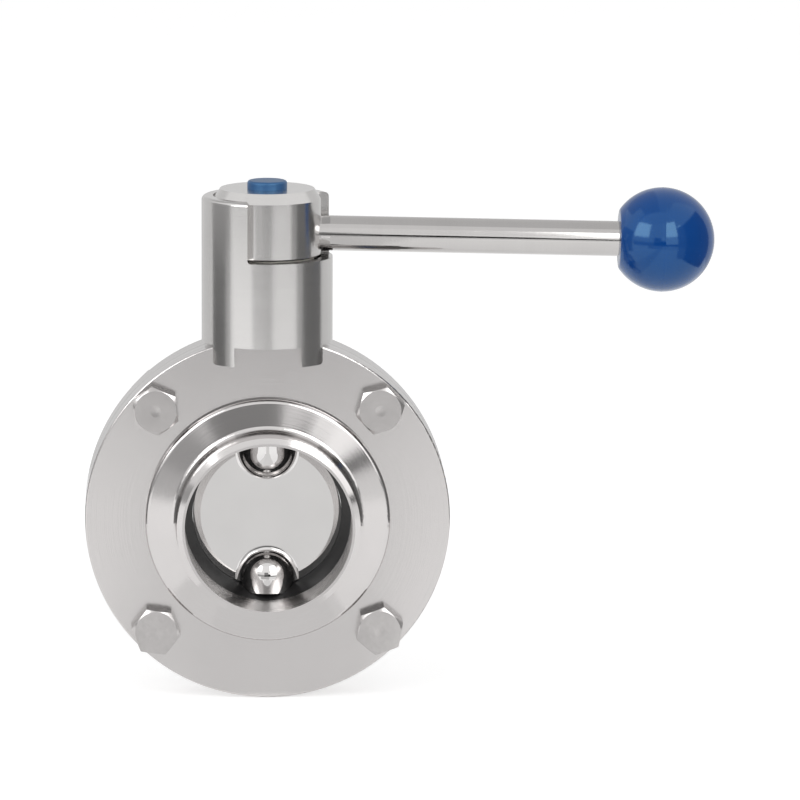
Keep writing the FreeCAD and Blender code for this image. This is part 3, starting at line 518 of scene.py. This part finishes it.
def end_tree(bench, shape, material):
    """Real faces, smooth but for the creases, in their material."""
    solid = bench.node("GeometryNodeRealizeInstances", {}, {"Geometry": shape})
    bend = bench.node("GeometryNodeInputMeshEdgeAngle", {}, {})
    smooth = bench.node("GeometryNodeSetShadeSmooth", {"domain": "FACE"},
                        {0: solid, "Shade Smooth": True})
    creased = bench.node("GeometryNodeSetShadeSmooth", {"domain": "EDGE"}, {
        0: smooth, "Selection": bend > CREASE_ANGLE, "Shade Smooth": False})
    dressed = bench.node("GeometryNodeSetMaterial", {}, {"Geometry": creased,
                                                         "Material": material})
    bench.node("NodeGroupOutput", {}, {0: dressed})


def plain_piece(name, tree, sizes, finish, seed_mesh=None):
    """Run a tree and keep its result as a plain mesh on an object at the origin."""
    helper = bpy.data.objects.new(name + "_helper", seed_mesh or bpy.data.meshes.new("seed"))
    bpy.context.scene.collection.objects.link(helper)
    modifier = helper.modifiers.new("shape", "NODES")
    modifier.node_group = tree
    given = {**sizes, "Material": finish}
    for item in tree.interface.items_tree:
        if item.in_out == "INPUT" and item.name in given:
            modifier[item.identifier] = given[item.name]
    made = helper.evaluated_get(bpy.context.evaluated_depsgraph_get())
    mesh = bpy.data.meshes.new_from_object(made)
    mesh.name = name
    bpy.data.objects.remove(helper)
    piece = bpy.data.objects.new(name, mesh)
    bpy.context.scene.collection.objects.link(piece)
    print(name, "-", len(mesh.vertices), "points,", len(mesh.polygons), "faces")
    return piece


# %% [markdown]
# ## The corners of the flange
#
# Four bolts clamp the halves, on one circle round the bore, and each was tightened by hand and
# stopped where it stopped. Placing four copies by eye would lose that circle. Instead, a mesh
# of four points holds the places, and an attribute on the points holds how far each hexagon is
# turned. A bolt or a nut is then put on every point by one node.

# %% Places for bolts and nuts
BOLT_CIRCLE = 0.0442
BOLT_OFFSET = BOLT_CIRCLE / math.sqrt(2.0)
CORNERS = [(-1, 1), (1, 1), (-1, -1), (1, -1)]
HEAD_TURNS = [37.0, 13.0, 52.0, 20.0]
NUT_TURNS = [45.0, 15.0, 15.0, 45.0]


def corner_points(level, degrees):
    """A mesh of four points at the bolt holes, each with the turn of its hexagon."""
    mesh = bpy.data.meshes.new("bolt_places")
    places = [(side * BOLT_OFFSET, level, high * BOLT_OFFSET) for side, high in CORNERS]
    mesh.from_pydata(places, [], [])
    turns = mesh.attributes.new("turn", "FLOAT", "POINT")
    turns.data.foreach_set("value", [math.radians(turn) for turn in degrees])
    return mesh


def stand_on_corners(bench, points, shape):
    """Lay a shape along the pipe at each corner point, turned as the point says."""
    turn = bench.node("GeometryNodeInputNamedAttribute", {"data_type": "FLOAT"},
                      {"Name": "turn"})
    rotation = bench.vector(-math.pi / 2.0, 0.0 - turn, 0.0)
    return bench.node("GeometryNodeInstanceOnPoints", {}, {
        "Points": points, "Instance": shape, "Rotation": rotation})


print("bolts stand", round(BOLT_OFFSET * 1000.0, 2), "mm from the bore's axis each way")

# %% [markdown]
# ## The hexagon
#
# Heads and nuts are hexagons whose corners are turned off. Turned off means that every point
# above a cone is cut away, so the bevel is low at the flats and high at the corners, and its
# lower edge comes out as six little arches. Cutting a prism with a cone would give the same
# shape with a ragged mesh. The sums below give it directly: how far out the side is at an
# angle, and how deep the cone cuts there.

# %% The hexagon's rule
HEX_FLATS = 0.012
HEX_COLUMNS = 60
BEVEL_SHARE = 0.97
BEVEL_SLOPE = math.tan(math.radians(30.0))


def hexagon_reach(angle, flats):
    """How far out the side of a hexagon is at an angle."""
    sixth = math.pi / 3.0
    within = (angle / sixth).named("FRACT") * sixth - sixth / 2.0
    return flats / 2.0 / within.named("COSINE")


def corner_bevel(reach, flats):
    """The circle where the bevel starts, and how deep it cuts at the hexagon's side."""
    start = flats * (BEVEL_SHARE / 2.0)
    return start, (reach - start) * BEVEL_SLOPE


corner = HEX_FLATS / 2.0 / math.cos(math.pi / 6.0)
deepest = corner_bevel(corner, HEX_FLATS)[1]
print("the bevel cuts", round(deepest * 1000.0, 2), "mm deep at a corner")

# %% [markdown]
# ## The four body bolts
#
# Each is an M8 hexagon bolt with a shallow mark in the middle of its head. The solid's shank is
# a plain cylinder. Here it gets its thread: the groove climbs 1.25 mm a turn, so its phase is
# the height over the pitch, less the angle over a full turn. A texture could fake the groove,
# but the bolt's end sticks out of the nut, where its outline would give that away.

# %% The bolt tree
THREAD_PITCH = 0.00125
THREAD_ROWS = 84
HEAD_ROWS = 8
GROOVE_STEEPNESS = 1.3
CREST_SHARE = 0.12
POINT_BEVEL = 0.0009
CENTRE_MARK = [  # distance from the middle, depth below the head's face
    (0.0, 0.00006), (0.0008, 0.00004), (0.0014, 0.000005), (0.0017, 0.0)]
BOLT_SIZES = ["Flats", "Head height", "Thread radius", "Thread depth", "Thread start", "Length"]


def shank_reach(size, climb, angle):
    """How far out the shank is: its radius, less the groove, and less the bevelled end."""
    phase = (climb / THREAD_PITCH - angle / (2.0 * math.pi)).named("FRACT")
    groove = ((1.0 - abs(phase * 2.0 - 1.0)) * GROOVE_STEEPNESS - CREST_SHARE).held()
    run_in = ((climb - size["Thread start"]) / THREAD_PITCH).held()
    threaded = size["Thread radius"] - size["Thread depth"] * groove * run_in
    past_bevel = (climb - size["Length"] + POINT_BEVEL).named("MAXIMUM", 0.0)
    return threaded.named("MINIMUM", size["Thread radius"] - past_bevel)


def make_bolt_tree():
    bench, size = start_tree("body_bolt_rule", BOLT_SIZES)
    sheet, angle, row = roll_grid(bench, HEX_COLUMNS, HEAD_ROWS + THREAD_ROWS + 1)
    reach = hexagon_reach(angle, size["Flats"])
    bevel_from, bevel = corner_bevel(reach, size["Flats"])
    face = 0.0 - size["Head height"]
    step = (row - float(HEAD_ROWS)) / (THREAD_ROWS - 1.0)
    climb = size["Thread start"] + (size["Length"] - size["Thread start"]) * step.held()
    not_last = row < HEAD_ROWS + THREAD_ROWS - 0.5
    shank = shank_reach(size, climb, angle) * not_last

    mark_out = [distance for distance, depth in CENTRE_MARK]
    mark_up = [face + depth for distance, depth in CENTRE_MARK]
    out = pick(bench, row, mark_out + [bevel_from, reach, reach, size["Thread radius"], shank])
    up = pick(bench, row, mark_up + [face, face + bevel, 0.0, 0.0, climb])
    bolt = roll_up(bench, sheet, angle, out, up)
    end_tree(bench, stand_on_corners(bench, size["Geometry"], bolt), size["Material"])
    return bench.tree


# %% Make the bolts
bolts = plain_piece("body_bolts", make_bolt_tree(), {
    "Flats": HEX_FLATS, "Head height": 0.0053, "Thread radius": 0.004,
    "Thread depth": 0.00072, "Thread start": 0.0195, "Length": 0.0298,
}, bolt_steel, corner_points(FLANGE_FRONT, HEAD_TURNS))
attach(bolts, "valve_body")
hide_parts("body_bolt_1", "body_bolt_2", "body_bolt_3", "body_bolt_4")

# %% [markdown]
# ## The four nuts
#
# A nut is the same hexagon, with a bevel on both faces and a hole that is countersunk at both
# ends so that the thread starts cleanly. A hole could be cut through a solid hexagon. Here no
# cut is needed: the profile runs out along the bearing face, up the side, in along the outer
# face and down the hole, and its last row lies on its first, so the ring closes when doubles
# are merged.

# %% The nut tree
NUT_ROWS = 9


def make_nut_tree():
    bench, size = start_tree("body_nut_rule", ["Flats", "Height", "Hole radius", "Countersink"])
    sheet, angle, row = roll_grid(bench, HEX_COLUMNS, NUT_ROWS)
    reach = hexagon_reach(angle, size["Flats"])
    bevel_from, bevel = corner_bevel(reach, size["Flats"])
    hole = size["Hole radius"]
    sink = size["Countersink"]
    mouth = hole + sink
    top = size["Height"]
    out = pick(bench, row, [mouth, bevel_from, reach, reach, bevel_from, mouth, hole, hole,
                            mouth])
    up = pick(bench, row, [0.0, 0.0, bevel, top - bevel, top, top, top - sink, sink, 0.0])
    nut = roll_up(bench, sheet, angle, out, up)
    end_tree(bench, stand_on_corners(bench, size["Geometry"], nut), size["Material"])
    return bench.tree


# %% Make the nuts
nuts = plain_piece("body_nuts", make_nut_tree(), {
    "Flats": HEX_FLATS, "Height": 0.0068, "Hole radius": 0.00403, "Countersink": 0.00035,
}, bolt_steel, corner_points(FLANGE_BACK, NUT_TURNS))
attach(nuts, "valve_body")
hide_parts("body_nut_1", "body_nut_2", "body_nut_3", "body_nut_4")

# %% [markdown]
# ## The ball
#
# The ball is moulded in two halves, and the seam stays on it as a fine raised line at its
# middle, square to the lever. The face towards the lever is flat, with a small round edge. A
# sphere with a slice cut off would have neither. So the profile starts at the floor of the hole
# for the insert, comes down the hole, crosses the flat face and then climbs the sphere one even
# step of angle at a time, so that one row falls exactly on the seam.

# %% The ball tree
SPHERE_STEP = math.radians(0.9)
STEPS_TO_SEAM = 61
STEPS_TO_POLE = 100
FACE_ROWS = 7
BALL_COLUMNS = 144
SEAM_HALF_STEPS = 1.4
EDGE_INSET = 0.00042
EDGE_END_INSET = 0.00004
EDGE_RISE = 0.000045
BALL_SIZES = ["Radius", "Face distance", "Hole radius", "Pocket radius", "Pocket depth",
              "Pocket floor", "Seam height", "Lever length", "Stem x", "Stem y", "Lever z", "Droop"]


def lay_on_lever(bench, size, ball):
    """Turn the ball onto the lever's axis and move it to the lever's end."""
    droop = size["Droop"]
    reach = size["Lever length"]
    rotation = bench.vector(0.0, math.pi / 2.0 + droop, 0.0)
    place = bench.vector(size["Stem x"] + reach * droop.named("COSINE"), size["Stem y"],
                         size["Lever z"] - reach * droop.named("SINE"))
    return bench.node("GeometryNodeTransform", {}, {
        "Geometry": ball, "Translation": place, "Rotation": rotation})


def make_ball_tree():
    bench, size = start_tree("ball_knob_rule", BALL_SIZES)
    sheet, angle, row = roll_grid(bench, BALL_COLUMNS,
                                  FACE_ROWS + STEPS_TO_SEAM + STEPS_TO_POLE + 1)
    steps = row - float(FACE_ROWS + STEPS_TO_SEAM)
    turn = math.pi / 2.0 + steps * SPHERE_STEP
    seam = (1.0 - abs(steps) / SEAM_HALF_STEPS).held() * size["Seam height"]
    radius = size["Radius"] + seam
    face = 0.0 - size["Face distance"]
    pocket = face + size["Pocket depth"]
    floor = size["Pocket floor"]
    edge = (size["Radius"] ** 2.0 - size["Face distance"] ** 2.0).named("SQRT")
    out = pick(bench, row, [0.0, size["Pocket radius"], size["Pocket radius"],
                            size["Hole radius"], size["Hole radius"], edge - EDGE_INSET,
                            edge - EDGE_END_INSET, radius * turn.named("SINE")])
    up = pick(bench, row, [floor, floor, pocket, pocket, face, face, face + EDGE_RISE,
                           0.0 - radius * turn.named("COSINE")])
    ball = roll_up(bench, sheet, angle, out, up)
    end_tree(bench, lay_on_lever(bench, size, ball), size["Material"])
    return bench.tree


# %% Make the ball
LEVER_DROOP = math.radians(1.25)
LEVER_HEIGHT = 0.07955

ball = plain_piece("ball_knob_moulded", make_ball_tree(), {
    "Radius": 0.0146, "Face distance": 0.0121, "Hole radius": 0.00404,
    "Pocket radius": 0.00602, "Pocket depth": 0.0008, "Pocket floor": 0.0029,
    "Seam height": 0.00004, "Lever length": 0.1104, "Stem x": 0.0, "Stem y": STEM_PLACE,
    "Lever z": LEVER_HEIGHT, "Droop": LEVER_DROOP,
}, knob_plastic)
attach(ball, "handle_and_disc")
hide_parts("ball_knob")

# %% [markdown]
# ## The studio: floor and white surround
#
# Steel has no colour of its own to speak of. It shows the room, so the room is half of its
# look. Brighter lamps could bleach the background, but they would bleach the steel too. So the
# floor and the surround are white of their own accord, to the camera and to reflections only,
# and more modest to everything else. Colours then stay as they are written and the floor keeps
# a shadow.

# %% Floor and surround
FLOOR_LEVEL = -FLANGE_RADIUS - 0.0001
FLOOR_REACH = 4.0
FLOOR_GLOW = 0.51
ROOM_LIGHT = 0.62
WHITE = (1.0, 1.0, 1.0, 1.0)


def seen_directly(bench):
    """1 for rays from the camera, a mirror or glass, and 0 for the light that spreads."""
    kinds = ("Is Camera Ray", "Is Glossy Ray", "Is Transmission Ray")
    camera, glossy, through = [bench.node("ShaderNodeLightPath", {}, {}, kind) for kind in kinds]
    return camera.named("MAXIMUM", glossy).named("MAXIMUM", through)


def make_floor():
    material, bench = start_finish("pale_floor")
    x, y, z = here(bench)
    clouds = grain(bench, x, y, z, size=0.4)
    close_finish(bench, material, {
        "Base Color": bench.mixed(clouds, (0.74, 0.74, 0.74), (0.76, 0.76, 0.76)),
        "Roughness": 0.9,
        "Specular IOR Level": 0.1,
        "Emission Color": WHITE,
        "Emission Strength": seen_directly(bench) * FLOOR_GLOW,
    })
    mesh = bpy.data.meshes.new("floor")
    corners = [(-1, -1), (1, -1), (1, 1), (-1, 1)]
    places = [(a * FLOOR_REACH, b * FLOOR_REACH, FLOOR_LEVEL) for a, b in corners]
    mesh.from_pydata(places, [], [(0, 1, 2, 3)])
    mesh.materials.append(material)
    floor = bpy.data.objects.new("floor", mesh)
    bpy.context.scene.collection.objects.link(floor)


def make_surround():
    world = bpy.data.worlds.new("white_surround")
    bpy.context.scene.world = world
    world.use_nodes = True
    world.node_tree.nodes.clear()
    bench = Bench(world.node_tree)
    level = ROOM_LIGHT + (1.0 - ROOM_LIGHT) * seen_directly(bench)
    white = bench.node("ShaderNodeBackground", {}, {"Color": WHITE, "Strength": level})
    bench.node("ShaderNodeOutputWorld", {}, {"Surface": white})
    print("surround: 1 to the camera and to mirrors,", ROOM_LIGHT, "to everything else")


make_floor()
make_surround()

# %% [markdown]
# ## Two soft lamps
#
# The lamps are large and stand in front, left and right, so that plastic and rubber are lit
# evenly and the shadow on the floor is soft. They light only what spreads light, and are hidden
# from reflections. What the steel shows is set separately, with the cards of the next step, so
# that one can be changed without the other.

# %% Lamps
LAMP_DISTANCE = 1.1
LAMP_WIDTH = 0.7
LAMP_HEIGHT = 1.0
LAMP_FOOT = 0.2


def bearing(azimuth, distance, height):
    """A point at an angle from straight ahead, as seen from above, and at a height."""
    turn = math.radians(azimuth)
    return Vector((math.sin(turn) * distance, STEM_PLACE - math.cos(turn) * distance, height))


def place_lamp(name, azimuth, level):
    """A tall soft light that faces the valve and is as bright as a level, where 1 is white."""
    lamp = bpy.data.lights.new(name, "AREA")
    lamp.shape = "RECTANGLE"
    lamp.size = LAMP_WIDTH
    lamp.size_y = LAMP_HEIGHT
    lamp.energy = level * math.pi * LAMP_WIDTH * LAMP_HEIGHT
    holder = bpy.data.objects.new(name, lamp)
    middle = FLOOR_LEVEL + LAMP_FOOT + LAMP_HEIGHT / 2.0
    holder.location = bearing(azimuth, LAMP_DISTANCE, middle)
    facing = bearing(0.0, 0.0, middle) - holder.location
    holder.rotation_mode = "QUATERNION"
    holder.rotation_quaternion = facing.to_track_quat("-Z", "Y")
    holder.visible_camera = False
    holder.visible_glossy = False
    bpy.context.scene.collection.objects.link(holder)
    print(name, "-", round(lamp.energy, 2), "W")


place_lamp("left_lamp", azimuth=-43.0, level=2.1)
place_lamp("right_lamp", azimuth=32.0, level=1.7)

# %% [markdown]
# ## What the steel shows
#
# A mirror in an all-white room looks like chalk. Bright steel needs something dark beside
# something light, and a photographer gives it that with white and black cards just out of
# view. Here they are laid out as a plain room would be. Two bright windows stand in front, left
# and right, with paler wall between and above them. Under them run the sills, a thin dark rail
# like the far edge of a table, and the light foot of the wall. Greyer cards stand at the sides
# and behind, and a faint shade lies on the floor in front. Each row's heights were found by
# asking at what angle a known surface, such as the collar's slope or the rod's underside, sees
# its dark line in the photograph. Only reflections see the cards.

# %% Helpers for cards
def add_card(name, level, corners):
    """A flat card of one brightness, which only reflections see."""
    cloth, bench = start_finish(name + "_cloth")
    glow = bench.node("ShaderNodeEmission", {}, {"Color": (level, level, level, 1.0)})
    bench.node("ShaderNodeOutputMaterial", {}, {"Surface": glow})
    mesh = bpy.data.meshes.new(name)
    mesh.from_pydata(corners, [], [(0, 1, 2, 3)])
    mesh.materials.append(cloth)
    card = bpy.data.objects.new(name, mesh)
    bpy.context.scene.collection.objects.link(card)
    card.visible_camera = False
    card.visible_diffuse = False
    card.visible_shadow = False


def stand_cards(distance, cards):
    """Upright cards at one distance, each between two azimuths and two heights."""
    for name, level, left, right, low, high in cards:
        corners = [bearing(left, distance, low), bearing(right, distance, low),
                   bearing(right, distance, high), bearing(left, distance, high)]
        add_card(name, level, corners)
    print(len(cards), "cards at", distance, "m")


# %% Cards in front
WALL_DISTANCE = 0.60
WALL_FOOT_DISTANCE = 0.56
FOOT_TOP = 0.012
SILL_TOP = 0.20
WINDOW_TOP = 0.60

stand_cards(WALL_DISTANCE, [  # name, level, left and right azimuth, lower and upper height
    ("left_window", 3.8, -66.0, -25.0, SILL_TOP, WINDOW_TOP),
    ("right_window", 3.8, 13.5, 50.0, SILL_TOP, WINDOW_TOP),
    ("upper_gap", 1.08, -25.0, 13.5, SILL_TOP, WINDOW_TOP),
    ("high_light", 1.00, -66.0, 54.0, WINDOW_TOP, 0.95),
    ("left_sill", 1.00, -66.0, -12.0, 0.09, SILL_TOP),
    ("lower_gap", 0.30, -12.0, 4.5, 0.09, SILL_TOP),
    ("near_right_sill", 1.20, 4.5, 11.0, 0.125, SILL_TOP),
    ("middle_right_sill", 1.50, 11.0, 14.0, 0.095, SILL_TOP),
    ("right_sill", 1.50, 14.0, 50.0, 0.045, SILL_TOP),
    ("left_rail", 0.45, -66.0, -12.0, FOOT_TOP, 0.09),
    ("middle_rail", 0.12, -12.0, 4.5, FOOT_TOP, 0.09),
    ("near_right_rail", 0.02, 4.5, 11.0, FOOT_TOP, 0.125),
    ("middle_right_rail", 0.02, 11.0, 14.0, FOOT_TOP, 0.095),
    ("right_rail", 0.07, 14.0, 50.0, FOOT_TOP, 0.045),
])
stand_cards(WALL_FOOT_DISTANCE, [
    ("left_foot", 1.22, -64.0, -26.0, FLOOR_LEVEL, FOOT_TOP),
    ("middle_foot", 0.63, -26.0, 8.0, FLOOR_LEVEL, FOOT_TOP),
    ("right_foot", 0.98, 8.0, 50.0, FLOOR_LEVEL, FOOT_TOP),
])

# %% Cards at the sides and behind
SIDE_DISTANCE = 0.28
BACK_DISTANCE = 0.40
SIDE_FOOT_TOP = 0.04
BACK_TOP = 0.30
BACK_GREY = 0.74

stand_cards(SIDE_DISTANCE, [
    ("left_half", 0.50, -77.0, -66.0, FLOOR_LEVEL, SIDE_FOOT_TOP),
    ("left_side_foot", 0.17, -110.0, -77.0, FLOOR_LEVEL, SIDE_FOOT_TOP),
    ("left_side", 0.40, -112.0, -66.0, SIDE_FOOT_TOP, SILL_TOP),
    ("left_side_light", 1.0, -112.0, -66.0, SILL_TOP, WINDOW_TOP),
    ("right_half", 0.50, 50.0, 63.0, FLOOR_LEVEL, SIDE_FOOT_TOP),
    ("right_side_foot", 0.17, 63.0, 106.0, FLOOR_LEVEL, SIDE_FOOT_TOP),
    ("right_corner", 0.34, 50.0, 64.0, SIDE_FOOT_TOP, SILL_TOP),
    ("right_side", 0.17, 64.0, 106.0, SIDE_FOOT_TOP, SILL_TOP),
    ("right_side_light", 1.0, 50.0, 108.0, SILL_TOP, WINDOW_TOP),
])
stand_cards(BACK_DISTANCE, [
    ("left_back", BACK_GREY, -165.0, -114.0, FLOOR_LEVEL, BACK_TOP),
    ("right_back", BACK_GREY, 108.0, 165.0, FLOOR_LEVEL, BACK_TOP),
    ("behind", BACK_GREY, 165.0, 195.0, FLOOR_LEVEL, BACK_TOP),
])

# %% Cards overhead and on the floor
CEILING_LEVEL = 0.95
CEILING_NEAR = -0.35
CEILING_FAR = 1.6
CEILING_CARDS = [  # name, level, left and right edge
    ("dark_ceiling", 0.55, -1.0, 0.02),
    ("pale_ceiling", 0.75, 0.02, 1.0),
]
SHADE_NEAR = 0.012
SHADE_FAR = -0.50
SHADE_CARDS = [  # name, level, height over the floor, near left and right, far left and right
    ("wide_floor_shade", 0.94, 0.0003, -0.050, 0.032, -0.026, 0.066),
    ("floor_shade", 0.89, 0.0006, -0.022, 0.028, -0.026, 0.046),
]

for name, level, left, right in CEILING_CARDS:
    add_card(name, level, [(left, CEILING_NEAR, CEILING_LEVEL), (right, CEILING_NEAR, CEILING_LEVEL),
                           (right, CEILING_FAR, CEILING_LEVEL), (left, CEILING_FAR, CEILING_LEVEL)])
for name, level, over, near_left, near_right, far_left, far_right in SHADE_CARDS:
    height = FLOOR_LEVEL + over
    add_card(name, level, [(near_left, SHADE_NEAR, height), (near_right, SHADE_NEAR, height),
                           (far_right, SHADE_FAR, height), (far_left, SHADE_FAR, height)])
print(len(CEILING_CARDS), "cards overhead,", len(SHADE_CARDS), "on the floor")

# %% [markdown]
# ## The camera
#
# The photograph was taken from far away through a long lens, a little above the valve and a
# touch to its left. A near camera would show the column from above and the flange as an egg. A
# long lens keeps the two ends of the bore nearly the same size. The numbers below were fitted to
# the flange's ellipse, the column and the lever.

# %% Camera
CAMERA_LENS = 309.8
CAMERA_PLACE = Vector((-0.03724, -1.87356, 0.35668))
CAMERA_AIM = Vector((0.03724, STEM_PLACE, 0.03183))
CAMERA_ROLL = math.radians(0.225)

camera_data = bpy.data.cameras.new("camera")
camera_data.sensor_width = 36.0
camera_data.lens = CAMERA_LENS
camera_data.clip_start = 0.1
camera_data.clip_end = 20.0
camera = bpy.data.objects.new("camera", camera_data)
camera.location = CAMERA_PLACE
aim = CAMERA_AIM - CAMERA_PLACE
camera.rotation_mode = "QUATERNION"
roll = Quaternion((0.0, 0.0, 1.0), CAMERA_ROLL)
camera.rotation_quaternion = aim.to_track_quat("-Z", "Y") @ roll
bpy.context.scene.collection.objects.link(camera)
bpy.context.scene.camera = camera
bpy.context.scene.view_settings.view_transform = "Standard"
print("camera at", round(aim.length, 3), "m through a lens of", CAMERA_LENS, "mm")
